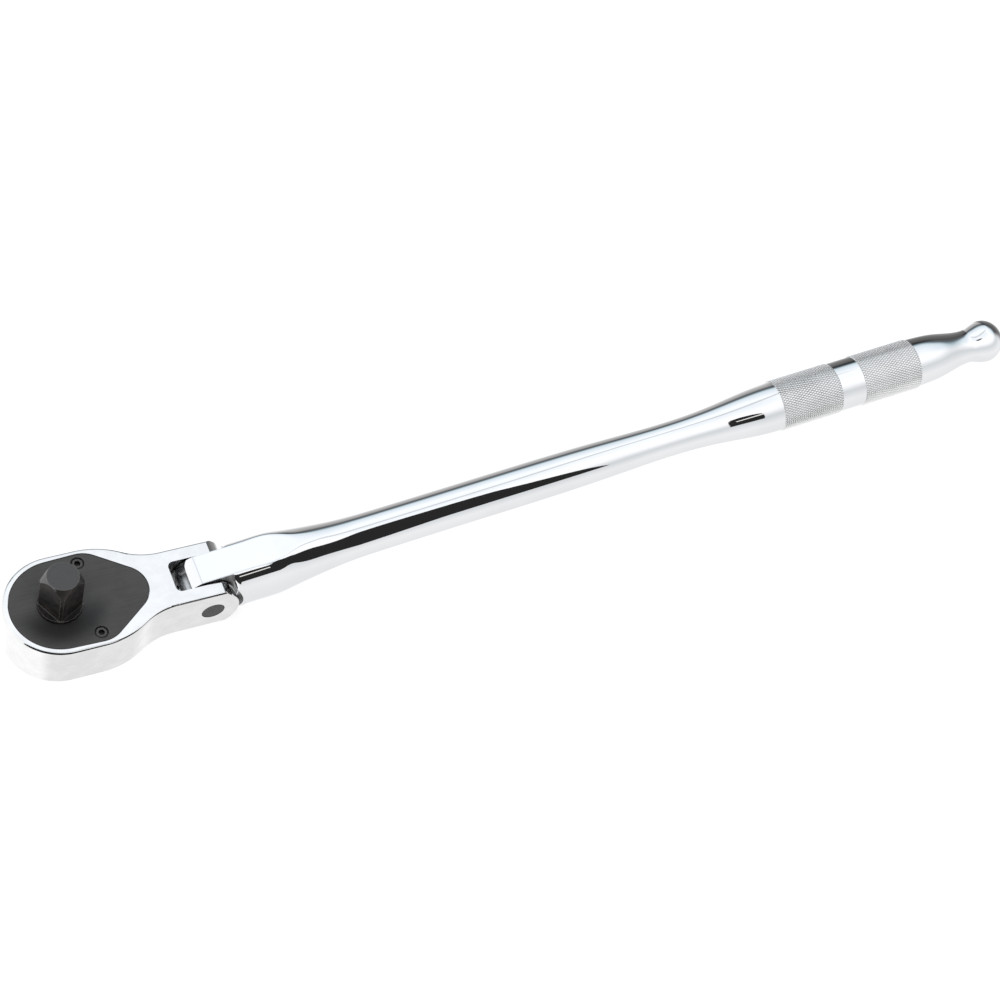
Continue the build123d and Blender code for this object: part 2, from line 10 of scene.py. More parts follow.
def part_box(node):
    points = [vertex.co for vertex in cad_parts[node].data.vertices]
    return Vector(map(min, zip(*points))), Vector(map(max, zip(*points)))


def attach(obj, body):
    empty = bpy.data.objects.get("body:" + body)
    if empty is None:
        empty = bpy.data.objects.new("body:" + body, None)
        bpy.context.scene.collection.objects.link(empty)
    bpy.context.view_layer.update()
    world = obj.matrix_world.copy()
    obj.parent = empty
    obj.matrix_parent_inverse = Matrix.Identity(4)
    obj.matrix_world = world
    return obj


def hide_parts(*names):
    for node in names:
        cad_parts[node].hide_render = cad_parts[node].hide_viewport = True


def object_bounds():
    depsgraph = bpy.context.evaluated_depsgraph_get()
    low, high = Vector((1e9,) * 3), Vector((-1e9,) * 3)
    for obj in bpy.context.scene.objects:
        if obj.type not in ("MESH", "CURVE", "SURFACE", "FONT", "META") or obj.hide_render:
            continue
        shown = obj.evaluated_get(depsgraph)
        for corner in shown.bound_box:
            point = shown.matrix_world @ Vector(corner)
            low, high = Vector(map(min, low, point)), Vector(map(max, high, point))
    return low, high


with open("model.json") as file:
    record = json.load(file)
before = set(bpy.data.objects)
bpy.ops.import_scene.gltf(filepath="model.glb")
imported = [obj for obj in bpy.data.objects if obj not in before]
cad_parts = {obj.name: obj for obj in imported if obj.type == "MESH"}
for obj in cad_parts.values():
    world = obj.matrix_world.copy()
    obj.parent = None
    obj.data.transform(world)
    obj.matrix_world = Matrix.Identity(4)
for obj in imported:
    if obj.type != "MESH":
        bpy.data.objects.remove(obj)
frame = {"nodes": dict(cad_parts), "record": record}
cad_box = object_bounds()
nodes = frame["nodes"]
LOW = cad_box[0]
MM = 0.001

# The camera stands over the near side, 0.84 m from the drive, at the photograph's angle.
CAMERA_AT = (-0.0518, -0.3831, 0.7475)
CAMERA_RIGHT = (0.9200, -0.3800, 0.0954)
CAMERA_UP = (0.2877, 0.8204, 0.4941)
CAMERA_LENS_MM = 77.09
CAMERA_SENSOR_MM = 36


def new_object(name, data):
    piece = bpy.data.objects.new(name, data)
    bpy.context.scene.collection.objects.link(piece)
    return piece


def make_camera():
    data = bpy.data.cameras.new("camera")
    data.lens = CAMERA_LENS_MM
    data.sensor_width = CAMERA_SENSOR_MM
    camera = new_object("camera", data)
    right = Vector(CAMERA_RIGHT).normalized()
    up = Vector(CAMERA_UP)
    up = (up - right * up.dot(right)).normalized()
    back = right.cross(up)
    camera.matrix_world = Matrix.Translation(CAMERA_AT) @ Matrix((right, up, back)).transposed().to_4x4()
    bpy.context.scene.camera = camera


class Shader:
    """Short calls for building a material's nodes."""

    def __init__(self, tree):
        self.tree = tree
        self.nodes = tree.nodes
        self.links = tree.links

    def node(self, kind, inputs=None, **settings):
        node = self.nodes.new(kind)
        for name, value in settings.items():
            setattr(node, name, value)
        for name, value in (inputs or {}).items():
            self.put(node.inputs[name], value)
        return node

    def put(self, socket, value):
        if isinstance(value, bpy.types.NodeSocket):
            self.links.new(value, socket)
        else:
            socket.default_value = value

    def math(self, operation, a, b=0.0, c=0.0, clamp=False):
        node = self.nodes.new("ShaderNodeMath")
        node.operation = operation
        node.use_clamp = clamp
        for socket, value in zip(node.inputs, (a, b, c)):
            self.put(socket, value)
        return node.outputs[0]

    def ramp(self, value, low, high, to_low=0.0, to_high=1.0, smooth=True):
        node = self.nodes.new("ShaderNodeMapRange")
        node.interpolation_type = "SMOOTHSTEP" if smooth else "LINEAR"
        for name, number in (("From Min", low), ("From Max", high), ("To Min", to_low), ("To Max", to_high)):
            self.put(node.inputs[name], number)
        self.put(node.inputs["Value"], value)
        return node.outputs[0]

    def mix(self, factor, a, b):
        node = self.nodes.new("ShaderNodeMix")
        node.data_type = "RGBA"
        self.put(node.inputs[0], factor)
        self.put(node.inputs[6], a)
        self.put(node.inputs[7], b)
        return node.outputs[2]


# ---------------------------------------------------------------- studio

# Brightness of the light tent by height above the horizon, in degrees, on the camera's side and on the far side.
NEAR_TENT = [(-90, (0.76, 0.76, 0.76)), (-40, (0.80, 0.80, 0.80)), (-12, (0.83, 0.83, 0.83)), (0, (0.78, 0.78, 0.79)),
             (9, (0.72, 0.73, 0.74)), (24, (0.64, 0.66, 0.67)), (33, (0.76, 0.77, 0.79)), (45, (0.97, 0.97, 0.98)),
             (60, (1.04, 1.04, 1.05)), (90, (0.87, 0.90, 0.94))]
FAR_TENT = [(-90, (1.02, 1.02, 1.02)), (-29, (1.00, 1.00, 1.00)), (-17, (0.63, 0.62, 0.62)), (-6, (0.46, 0.45, 0.45)),
            (4, (0.38, 0.37, 0.37)), (9, (0.29, 0.28, 0.28)), (14, (0.13, 0.13, 0.13)), (20, (0.09, 0.10, 0.11)),
            (25, (0.22, 0.28, 0.31)), (29, (0.52, 0.61, 0.66)), (34, (0.70, 0.78, 0.83)), (48, (0.86, 0.90, 0.95)),
            (60, (0.99, 1.02, 1.05)), (76, (0.85, 0.90, 0.94)), (90, (0.86, 0.90, 0.94))]
TENT_TURN = (-0.25, 0.2)
TENT_STRENGTH = 1.08

# Ranges of a direction's X. Towards the knob's end the far side is shaded and its dark seam is lifted by some degrees.
# Towards the head's end the whole tent is white.
FAR_END = (0.36, 0.44)
FAR_END_SHADE = 0.28
FAR_LIFT = (0.46, 0.62)
FAR_LIFT_DEGREES = 9
HEAD_END = (-0.30, -0.50)

# Studio cards that only polished surfaces see, as outlines in millimetres. The dark openings and the light slits in
# them stand upright in front of the near side, and the seam of the tent hangs overhead.
OPENING_Y = -150
OPENING = [(-400, -6), (70, -6), (92, 12), (136, 10), (155, 17), (175, 31), (198, 47), (232, 47), (250, 45),
           (294, 40), (293, 100), (285, 200), (285, 250), (295, 340), (313, 450), (330, 600), (345, 900),
           (190, 900), (168, 400), (150, 230), (118, 150), (84, 140), (76, 500), (76, 1500), (-400, 1500)]
SLIT = [(88, 66), (113, 66), (113, 76), (88, 76)]
SIDE_OPENING_Y = -60
SIDE_OPENING = [(299.5, 10), (319.5, 9), (321, 20), (322.5, 34), (323.5, 42), (324, 52), (322.5, 58), (318, 71),
                (315, 77), (311.5, 83), (307, 78), (304.2, 62), (302.3, 48), (300.5, 30)]
SIDE_SLIT = [(304.3, 36), (326, 37), (326, 46), (304.3, 42.5)]
SEAM_Z = 500
SEAM = [(100, 55), (345, 55), (478, 138), (620, 230), (590, 280), (455, 192), (336, 115), (100, 115)]

# Half the floor's width, in metres.
FLOOR_REACH = 20.0


def gradient(s, value, stops, low, high):
    """A colour ramp over a range of a value, from (value, colour) stops."""
    position = s.ramp(value, low, high, smooth=False)
    node = s.node("ShaderNodeValToRGB", {0: position})
    elements = node.color_ramp.elements
    while len(elements) < len(stops):
        elements.new(0.5)
    for element, (at, colour) in zip(elements, stops):
        element.position = (at - low) / (high - low)
        element.color = (*colour, 1)
    return node.outputs[0]


def make_world():
    """A white light tent, with a seam low down that is faint on the camera's side and dark on the far side."""
    world = bpy.data.worlds.new("studio")
    world.use_nodes = True
    bpy.context.scene.world = world
    world.node_tree.nodes.clear()
    s = Shader(world.node_tree)
    direction = s.node("ShaderNodeTexCoord").outputs["Generated"]
    x, y, z = s.node("ShaderNodeSeparateXYZ", {0: direction}).outputs
    elevation = s.math("MULTIPLY", s.math("ARCSINE", z), 180 / math.pi)
    near = gradient(s, elevation, NEAR_TENT, -90, 90)
    lifted = s.math("SUBTRACT", elevation, s.ramp(x, *FAR_LIFT, 0.0, FAR_LIFT_DEGREES))
    far = gradient(s, lifted, FAR_TENT, -90, 90)
    shade = s.ramp(x, *FAR_END, 1.0, FAR_END_SHADE)
    shade = s.mix(s.ramp(elevation, 18, 28), s.mix(s.ramp(elevation, -50, -24), (1, 1, 1, 1), shade), (1, 1, 1, 1))
    far = s.node("ShaderNodeMix", {0: 1.0, 6: far, 7: shade}, data_type="RGBA", blend_type="MULTIPLY").outputs[2]
    tent = s.mix(s.ramp(y, *TENT_TURN), near, far)
    tent = s.mix(s.ramp(x, *reversed(HEAD_END), 1.0, 0.0), tent, (0.98, 0.98, 0.98, 1))
    background = s.node("ShaderNodeBackground", {"Color": tent, "Strength": TENT_STRENGTH})
    out = s.node("ShaderNodeOutputWorld")
    s.links.new(background.outputs[0], out.inputs[0])
    bpy.context.scene.view_settings.view_transform = "Standard"


def card_material(name, colour, rim, opacity=1.0):
    """An unlit card, clear at its outline and of a rim colour just inside it."""
    material = bpy.data.materials.new(name)
    material.use_nodes = True
    material.node_tree.nodes.clear()
    s = Shader(material.node_tree)
    inside = s.node("ShaderNodeAttribute", attribute_name="inside").outputs["Fac"]
    light = s.node("ShaderNodeEmission", {"Color": s.mix(s.ramp(inside, 0.4, 1.0), rim, colour)})
    clear = s.node("ShaderNodeBsdfTransparent")
    cover = s.math("MULTIPLY", s.ramp(inside, 0.0, 0.7), opacity)
    blend = s.node("ShaderNodeMixShader", {0: cover, 1: clear.outputs[0], 2: light.outputs[0]})
    s.node("ShaderNodeOutputMaterial", {0: blend.outputs[0]})
    return material


def card(name, corners, material, soft=0.0):
    """A flat card that shows in polished surfaces, and neither to the camera nor in the light on the floor."""
    form = bmesh.new()
    inside = form.verts.layers.float.new("inside")
    face = form.faces.new([form.verts.new(corner) for corner in corners])
    if soft:
        bmesh.ops.inset_region(form, faces=[face], thickness=soft * MM, use_even_offset=True)
    for vertex in face.verts:
        vertex[inside] = 1.0
    mesh = bpy.data.meshes.new(name)
    form.to_mesh(mesh)
    form.free()
    mesh.materials.append(material)
    piece = new_object(name, mesh)
    piece.visible_camera = False
    piece.visible_diffuse = False
    piece.visible_transmission = False
    piece.visible_shadow = False


def upright(outline, y):
    return [(x * MM, y * MM, z * MM) for x, z in outline]


def make_cards():
    dark = card_material("opening", (0.022, 0.022, 0.022, 1), (0.15, 0.055, 0.05, 1))
    light = card_material("slit", (0.93, 0.92, 0.88, 1), (0.5, 0.45, 0.3, 1))
    seam = card_material("seam", (0.30, 0.26, 0.24, 1), (0.30, 0.26, 0.24, 1), opacity=0.4)
    card("opening", upright(OPENING, OPENING_Y), dark, soft=9)
    card("slit", upright(SLIT, OPENING_Y + 1), light, soft=1.5)
    card("side_opening", upright(SIDE_OPENING, SIDE_OPENING_Y), dark)
    card("side_slit", upright(SIDE_SLIT, SIDE_OPENING_Y + 1), light)
    card("seam", [(x * MM, y * MM, SEAM_Z * MM) for x, y in SEAM], seam, soft=10)


def make_floor():
    """A pale sweep under the object. Only the tent, not the sweep, shows in polished metal."""
    signs = ((-1, -1), (1, -1), (1, 1), (-1, 1))
    corners = [(a * FLOOR_REACH, b * FLOOR_REACH, LOW.z) for a, b in signs]
    mesh = bpy.data.meshes.new("floor")
    mesh.from_pydata(corners, [], [(0, 1, 2, 3)])
    floor = new_object("floor", mesh)
    floor.visible_glossy = False
    material = bpy.data.materials.new("floor")
    material.use_nodes = True
    bsdf = material.node_tree.nodes["Principled BSDF"]
    bsdf.inputs["Base Color"].default_value = (0.50, 0.50, 0.50, 1)
    bsdf.inputs["Roughness"].default_value = 0.9
    bsdf.inputs["Specular IOR Level"].default_value = 0.0
    bsdf.inputs["Emission Color"].default_value = (1.0, 0.99, 0.985, 1)
    bsdf.inputs["Emission Strength"].default_value = 0.68
    mesh.materials.append(material)


# ---------------------------------------------------------------- handle

# Everything here is in millimetres from the middle of the hinge pin, with +X along the handle.
PIN = (Vector(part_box("hinge_pin")[0]) + Vector(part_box("hinge_pin")[1])) / 2
AROUND = 384
TONGUE_HALF_WIDTH = 6.3
TONGUE_HALF_HEIGHT = 13.0
TONGUE_END_RADIUS = 13.6
TONGUE_END_CENTRE_X = 2.1
PIN_HOLE_RADIUS = 4.8
SHOULDER_X = 11.0
SCALLOP_RADIUS = 12.9
SHOULDER_ROUND = 2.2
SHOULDER_EASE_WIDTH = 3.5
NECK_WIDTH = [(-20, 12.5), (8, 12.5), (20, 12.5), (30, 12.4), (37, 11.6), (46, 10.5), (55, 9.62), (64, 9.08)]
NECK_HEIGHT = [(-20, 15.2), (8, 15.2), (20, 15.2), (30, 14.9), (37, 13.0), (46, 11.2), (55, 9.85), (64, 9.08)]
FACET_BEND_X = 30.0
FACET_END = (66.0, 9.3)
FACET_BLEND = 0.45
NECK_END = 64.0
NECK_END_SLOPE = -0.035
SHANK = [(64, 9.08), (80, 8.86), (110, 8.80), (175, 8.35), (226, 8.35), (241.5, 10.0), (257.3, 10.97)]
GRIP_RADIUS = 10.97
GRIP_END_RADIUS = 10.9
BANDS = [(257.3, 285.7), (297.0, 324.7)]
TAIL = [(324.7, 10.9), (338.5, 9.8), (353, 7.4)]
KNOB = [(353, 7.4), (357, 8.45), (361.8, 9.4)]
KNOB_END_LENGTH = 8.7
KNOB_END_RINGS = 40
KNURL_STARTS = 60
KNURL_PERIOD = 2.06
KNURL_TIP = 11.15
KNURL_ROOT = 10.86
KNURL_FLAT = 0.23
KNURL_END_BREAK = 0.35
RECESS_RADIUS = 10.3


def spline(points, first=None, last=None):
    """The smooth curve through (x, value) points that has no jump in curvature, as a function of x."""
    xs = np.array([p[0] for p in points], float)
    ys = np.array([p[1] for p in points], float)
    gaps = np.diff(xs)
    rises = np.diff(ys) / gaps
    count = len(xs)
    system = np.zeros((count, count))
    right = np.zeros(count)
    for i in range(1, count - 1):
        system[i, i - 1:i + 2] = (1 / gaps[i - 1], 2 / gaps[i - 1] + 2 / gaps[i], 1 / gaps[i])
        right[i] = 3 * (rises[i - 1] / gaps[i - 1] + rises[i] / gaps[i])
    for row, beside, slope, gap, rise in ((0, 1, first, gaps[0], rises[0]), (-1, -2, last, gaps[-1], rises[-1])):
        if slope is None:
            system[row, row], system[row, beside], right[row] = 2 / gap, 1 / gap, 3 * rise / gap
        else:
            system[row, row], right[row] = 1, slope
    slopes = np.linalg.solve(system, right)

    def value(x):
        i = int(np.clip(np.searchsorted(xs, x) - 1, 0, count - 2))
        h = gaps[i]
        t = (x - xs[i]) / h
        start = ys[i] * (1 + 2 * t) * (1 - t) ** 2 + slopes[i] * h * t * (1 - t) ** 2
        end = ys[i + 1] * t * t * (3 - 2 * t) + slopes[i + 1] * h * t * t * (t - 1)
        return float(start + end)

    return value


def steps(low, high, size):
    """Even steps from low to high, both included, no larger than a size."""
    count = max(1, math.ceil((high - low) / size))
    return [low + (high - low) * i / count for i in range(count + 1)]


def neck_ring(x, wide, high, facet):
    """Section radii at a place on the neck: an oval with a flat facet above and below."""
    ring = []
    for i in range(AROUND):
        turn = 2 * math.pi * i / AROUND
        oval = 1 / math.hypot(math.sin(turn) / wide, math.cos(turn) / high)
        flat = facet / max(abs(math.cos(turn)), 0.01)
        share = min(1.0, max(0.0, 0.5 + 0.5 * (flat - oval) / FACET_BLEND))
        ring.append(flat + (oval - flat) * share - FACET_BLEND * share * (1 - share))
    return x, ring


def handle_rings():
    """Every ring of the handle's skin, from inside the fork to the knob."""
    wide = spline(NECK_WIDTH, last=NECK_END_SLOPE)
    high = spline(NECK_HEIGHT, last=NECK_END_SLOPE)
    shank = spline(SHANK, first=NECK_END_SLOPE, last=0.0)
    tail = spline(TAIL, first=-0.05, last=0.0)
    knob = spline(KNOB, first=0.0, last=0.0)
    rings = []
    ends = steps(-20, SHOULDER_X, 0.7)[:-1] + steps(SHOULDER_X, 16, 0.15)[:-1] + steps(16, NECK_END, 0.7)[:-1]
    for x in ends:
        slope = (FACET_END[1] - TONGUE_HALF_HEIGHT) / (FACET_END[0] - FACET_BEND_X)
        facet = TONGUE_HALF_HEIGHT + slope * max(0.0, x - FACET_BEND_X)
        rings.append(neck_ring(x, wide(x), high(x), facet))
    profile = [(x, shank(x)) for x in steps(NECK_END, 226, 3.0)[:-1]]
    profile += [(x, shank(x)) for x in steps(226, BANDS[0][0], 1.0)]
    for band, after in zip(BANDS, (GRIP_RADIUS, GRIP_END_RADIUS)):
        profile += [(band[0], RECESS_RADIUS), (band[1], RECESS_RADIUS), (band[1], after)]
        if band is BANDS[0]:
            profile += [(x, GRIP_RADIUS) for x in steps(band[1], BANDS[1][0], 1.5)[1:]]
    profile += [(x, tail(x)) for x in steps(BANDS[1][1], TAIL[-1][0], 0.8)[1:]]
    profile += [(x, knob(x)) for x in steps(KNOB[0][0], KNOB[-1][0], 0.3)[1:]]
    for i in range(1, KNOB_END_RINGS):
        turn = math.pi / 2 * i / KNOB_END_RINGS
        profile.append((KNOB[-1][0] + KNOB_END_LENGTH * math.sin(turn), KNOB[-1][1] * math.cos(turn)))
    return rings + [(x, [radius] * AROUND) for x, radius in profile]


def point(x, radius, turn):
    """A point of the handle in metres, turn being measured from straight up towards the far side."""
    return PIN + MM * Vector((x, radius * math.sin(turn), radius * math.cos(turn)))


def eased(place):
    """A point of the skin, drawn in where it nears a shoulder so that the shoulder's rim is round."""
    offset = (place - PIN) / MM
    gap = min(offset.x - SHOULDER_X, math.hypot(offset.x, offset.z) - SCALLOP_RADIUS)
    if gap > SHOULDER_ROUND or offset.x < 0:
        return place
    rise = 0.75 * min(SHOULDER_ROUND - gap, SHOULDER_ROUND)
    drop = SHOULDER_ROUND - math.sqrt(SHOULDER_ROUND ** 2 - rise ** 2)
    share = min(1.0, max(0.0, (abs(offset.y) - TONGUE_HALF_WIDTH) / SHOULDER_EASE_WIDTH))
    offset.y -= math.copysign(drop * share, offset.y)
    return PIN + MM * offset


def handle_skin():
    """The handle's skin as a closed mesh, still without the fork's cuts."""
    rings = handle_rings()
    points = [eased(point(x, radius, 2 * math.pi * i / AROUND)) for x, ring in rings for i, radius in enumerate(ring)]
    faces = []
    for row in range(len(rings) - 1):
        for i in range(AROUND):
            j = (i + 1) % AROUND
            faces.append((row * AROUND + i, (row + 1) * AROUND + i, (row + 1) * AROUND + j, row * AROUND + j))
    faces.append(tuple(range(AROUND)))
    points.append(point(KNOB[-1][0] + KNOB_END_LENGTH, 0, 0))
    last = (len(rings) - 1) * AROUND
    for i in range(AROUND):
        faces.append((last + i, len(points) - 1, last + (i + 1) % AROUND))
    mesh = bpy.data.meshes.new("handle_skin")
    mesh.from_pydata(points, [], faces)
    return mesh


def prism(name, outline, low, high):
    """A closed prism from an outline in the XZ plane, between two places across the handle."""
    count = len(outline)
    points = [PIN + MM * Vector((x, y, z)) for y in (low, high) for x, z in outline]
    faces = [tuple(range(count)), tuple(range(2 * count - 1, count - 1, -1))]
    faces += [(i, i + count, (i + 1) % count + count, (i + 1) % count) for i in range(count)]
    mesh = bpy.data.meshes.new(name)
    mesh.from_pydata(points, [], faces)
    return new_object(name, mesh)


def arc(radius, low, high, count):
    """Points of an arc about the hinge pin, its angles in degrees from +X towards +Z."""
    angles = [math.radians(low + (high - low) * i / count) for i in range(count + 1)]
    return [(radius * math.cos(angle), radius * math.sin(angle)) for angle in angles]


def cut(piece, tool, operation):
    modifier = piece.modifiers.new("cut", "BOOLEAN")
    modifier.operation = operation
    modifier.solver = "MANIFOLD"
    modifier.object = tool


def finished_mesh(piece, tools):
    """The mesh of a piece with its cuts made, the tools thrown away."""
    depsgraph = bpy.context.evaluated_depsgraph_get()
    mesh = bpy.data.meshes.new_from_object(piece.evaluated_get(depsgraph))
    for tool in tools + [piece]:
        bpy.data.objects.remove(tool)
    return mesh


def shade(mesh, sharp_degrees):
    """Smooth faces, with an edge kept sharp where the faces turn by more than an angle."""
    form = bmesh.new()
    form.from_mesh(mesh)
    bmesh.ops.recalc_face_normals(form, faces=form.faces)
    limit = math.radians(sharp_degrees)
    for face in form.faces:
        face.smooth = True
    for edge in form.edges:
        edge.smooth = len(edge.link_faces) == 2 and edge.calc_face_angle(0.0) < limit
    form.to_mesh(mesh)
    form.free()


def handle_body():
    """The handle with its tongue, pin hole and the two shoulders that clear the ears."""
    skin = new_object("skin", handle_skin())
    out = 30.0
    tip_angle = math.degrees(math.asin(TONGUE_HALF_HEIGHT / TONGUE_END_RADIUS))
    end = [(x + TONGUE_END_CENTRE_X, z) for x, z in arc(TONGUE_END_RADIUS, 180 - tip_angle, 180 + tip_angle, 64)]
    far = 400.0
    limits = [(far, out), (end[0][0], out)] + end + [(end[-1][0], -out), (far, -out)]
    tools = [prism("limits", limits, -out, out)]
    cut(skin, tools[0], "INTERSECT")
    reach = math.degrees(math.acos(SHOULDER_X / SCALLOP_RADIUS))
    scallop = [(-out, -out), (SHOULDER_X, -out)] + arc(SCALLOP_RADIUS, -reach, reach, 48)
    scallop += [(SHOULDER_X, out), (-out, out)]
    for name, low, high in (("near_shoulder", -out, -TONGUE_HALF_WIDTH), ("far_shoulder", TONGUE_HALF_WIDTH, out)):
        tools.append(prism(name, scallop, low, high))
        cut(skin, tools[-1], "DIFFERENCE")
    tools.append(prism("pin_hole", arc(PIN_HOLE_RADIUS, 0, 360, 96)[:-1], -out, out))
    cut(skin, tools[-1], "DIFFERENCE")
    return finished_mesh(skin, tools)


def knurl_sleeve(band):
    """A closed drum whose rim is covered in raised diamonds, left by two crossed sets of grooves."""
    low, high = band
    form = bmesh.new()
    corners = {}
    margin = 2
    first = math.floor(2 * low / KNURL_PERIOD) - margin
    last = math.ceil(2 * high / KNURL_PERIOD) + margin

    def place(s, t, radius):
        x = KNURL_PERIOD * (s + t) / 2
        return form.verts.new(point(x, radius, math.pi * (s - t) / KNURL_STARTS))

    def corner(s, t):
        turns = (s - t) // (2 * KNURL_STARTS)
        key = (s - turns * KNURL_STARTS, t + turns * KNURL_STARTS)
        if key not in corners:
            corners[key] = place(s, t, KNURL_ROOT)
        return corners[key]

    for total in range(first, last):
        for split in range(KNURL_STARTS):
            difference = 2 * split + total % 2
            s = (total + difference) // 2
            t = total - s
            roots = [corner(s, t), corner(s + 1, t), corner(s + 1, t + 1), corner(s, t + 1)]
            tips = [place(s + 0.5 + a * KNURL_FLAT, t + 0.5 + b * KNURL_FLAT, KNURL_TIP)
                    for a, b in ((-1, -1), (1, -1), (1, 1), (-1, 1))]
            form.faces.new(tips)
            for i in range(4):
                j = (i + 1) % 4
                form.faces.new((roots[i], roots[j], tips[j], tips[i]))
    for at, normal, clear in ((low, -1, True), (high, 1, True), (low + KNURL_END_BREAK, -1, False),
                              (high - KNURL_END_BREAK, 1, False)):
        everything = form.verts[:] + form.edges[:] + form.faces[:]
        bmesh.ops.bisect_plane(form, geom=everything, plane_co=point(at, 0, 0), plane_no=(normal, 0, 0),
                               clear_outer=clear, dist=1e-7)
    for vertex in form.verts:
        offset = vertex.co - PIN
        at_end = min(abs(offset.x - low * MM), abs(offset.x - high * MM)) < 1e-6
        radius = math.hypot(offset.y, offset.z)
        limit = (KNURL_ROOT + 0.1) * MM
        if at_end and radius > limit:
            vertex.co = PIN + Vector((offset.x, offset.y * limit / radius, offset.z * limit / radius))
    bmesh.ops.remove_doubles(form, verts=form.verts[:], dist=2e-6)
    rim = [edge for edge in form.edges if edge.is_boundary]
    bmesh.ops.edgenet_fill(form, edges=rim)
    mesh = bpy.data.meshes.new("knurl")
    form.to_mesh(mesh)
    form.free()
    return mesh


def make_handle(chrome, knurl_chrome):
    """Puts the smooth handle and its two knurled sleeves in the place of the CAD handle."""
    body = handle_body()
    shade(body, 28)
    handle = new_object("polished_handle", body)
    body.materials.clear()
    body.materials.append(chrome)
    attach(handle, "handle")
    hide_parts("handle")
    for name, band in zip(("front_knurl", "rear_knurl"), BANDS):
        mesh = knurl_sleeve(band)
        shade(mesh, 20)
        mesh.materials.append(knurl_chrome)
        sleeve = new_object(name, mesh)
        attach(sleeve, "handle")


# ---------------------------------------------------------------- finishes

UP = Vector(frame["record"]["mounts"][0]["axis"]).normalized()
ALONG = Vector((UP.z, 0, -UP.x))
# Height along the drive's axis, in millimetres, below which the screw sockets are painted near-black as shade.
SOCKET_SHADE_BELOW = -0.75


class Finish(Shader):
    """One material: a Principled shader, the place on the object in millimetres, and noise made from it."""

    def __init__(self, name, metallic, **fixed):
        self.material = bpy.data.materials.new(name)
        self.material.use_nodes = True
        super().__init__(self.material.node_tree)
        self.shader = self.nodes["Principled BSDF"]
        self.set("Metallic", metallic)
        for socket, value in fixed.items():
            self.set(socket.replace("_", " "), value)
        object_place = self.node("ShaderNodeTexCoord").outputs["Object"]
        self.place = self.vector("SCALE", object_place, scale=1000)
        self.normal = self.node("ShaderNodeNewGeometry").outputs["Normal"]
        self.bumps = None

    def set(self, socket, value):
        self.put(self.shader.inputs[socket], value)

    def vector(self, operation, a, b=None, scale=None):
        node = self.nodes.new("ShaderNodeVectorMath")
        node.operation = operation
        self.put(node.inputs[0], a)
        if b is not None:
            self.put(node.inputs[1], b)
        if scale is not None:
            self.put(node.inputs["Scale"], scale)
        return node.outputs["Value" if operation in ("DOT_PRODUCT", "LENGTH") else "Vector"]

    def axis(self, direction, origin=(0, 0, 0)):
        """Distance along a direction from a point, in millimetres."""
        return self.vector("DOT_PRODUCT", self.vector("SUBTRACT", self.place, tuple(origin)), tuple(direction))

    def across(self):
        return self.math("ABSOLUTE", self.axis((0, 1, 0)))

    def in_head(self):
        """The place in the head's own frame: along it, across it and up the drive."""
        node = self.node("ShaderNodeCombineXYZ", {0: self.axis(ALONG), 1: self.axis((0, 1, 0)), 2: self.axis(UP)})
        return node.outputs[0]

    def noise(self, size, detail=3.0, roughness=0.55, stretch=None, place=None, seed=0.0):
        """Noise with features of a size in millimetres, and longer by a factor along each axis of stretch."""
        place = self.place if place is None else place
        factors = [1 / (size * longer) for longer in (stretch or (1, 1, 1))]
        scaled = self.vector("MULTIPLY", place, factors)
        scaled = self.vector("ADD", scaled, (seed, 2 * seed, 3 * seed))
        inputs = {"Vector": scaled, "Scale": 1.0, "Detail": detail, "Roughness": roughness}
        return self.node("ShaderNodeTexNoise", inputs).outputs[0]

    def bump(self, height, depth, strength=1.0):
        """Adds relief of a depth in millimetres."""
        inputs = {"Height": height, "Distance": depth * MM, "Strength": strength}
        if self.bumps is not None:
            inputs["Normal"] = self.bumps
        self.bumps = self.node("ShaderNodeBump", inputs).outputs[0]
        self.set("Normal", self.bumps)

    def edge(self, radius, low=0.02, high=0.25):
        """1 on edges, where a rounded normal leaves the true one."""
        rounded = self.node("ShaderNodeBevel", {"Radius": radius * MM}, samples=4).outputs[0]
        turn = self.math("SUBTRACT", 1.0, self.vector("DOT_PRODUCT", rounded, self.normal))
        return self.ramp(turn, low, high)

    def below(self, value, limit, soft):
        return self.ramp(value, limit - soft, limit + soft, 1.0, 0.0)

    def above(self, value, limit, soft):
        return self.ramp(value, limit - soft, limit + soft)


def grey(level, tint=(1.0, 1.0, 1.0)):
    return (level * tint[0], level * tint[1], level * tint[2], 1)


COOL = (0.985, 0.995, 1.01)
WARM = (1.05, 1.0, 0.97)


def polish(f, bright, dull, sheen, haze, cloud_size, seed=0.0, tint=COOL):
    """Plated surface: clouded reflectance, haze, polishing lines and stray hairline scratches."""
    cloud = f.noise(cloud_size, 4.0, 0.6, seed=seed)
    cloud = f.ramp(cloud, 0.35, 0.68)
    lines = f.noise(0.35, 2.0, 0.6, stretch=(0.35, 14, 14), seed=seed + 5)
    scratch = f.noise(0.12, 1.0, 0.5, stretch=(60, 1.4, 1.4), seed=seed + 9)
    scratch = f.above(scratch, 0.735, 0.012)
    colour = f.mix(cloud, grey(dull, tint), grey(bright, tint))
    rough = f.math("ADD", f.ramp(cloud, 0, 1, haze, sheen, smooth=False), f.math("MULTIPLY", scratch, 0.06))
    f.bump(lines, 0.0004)
    return colour, rough


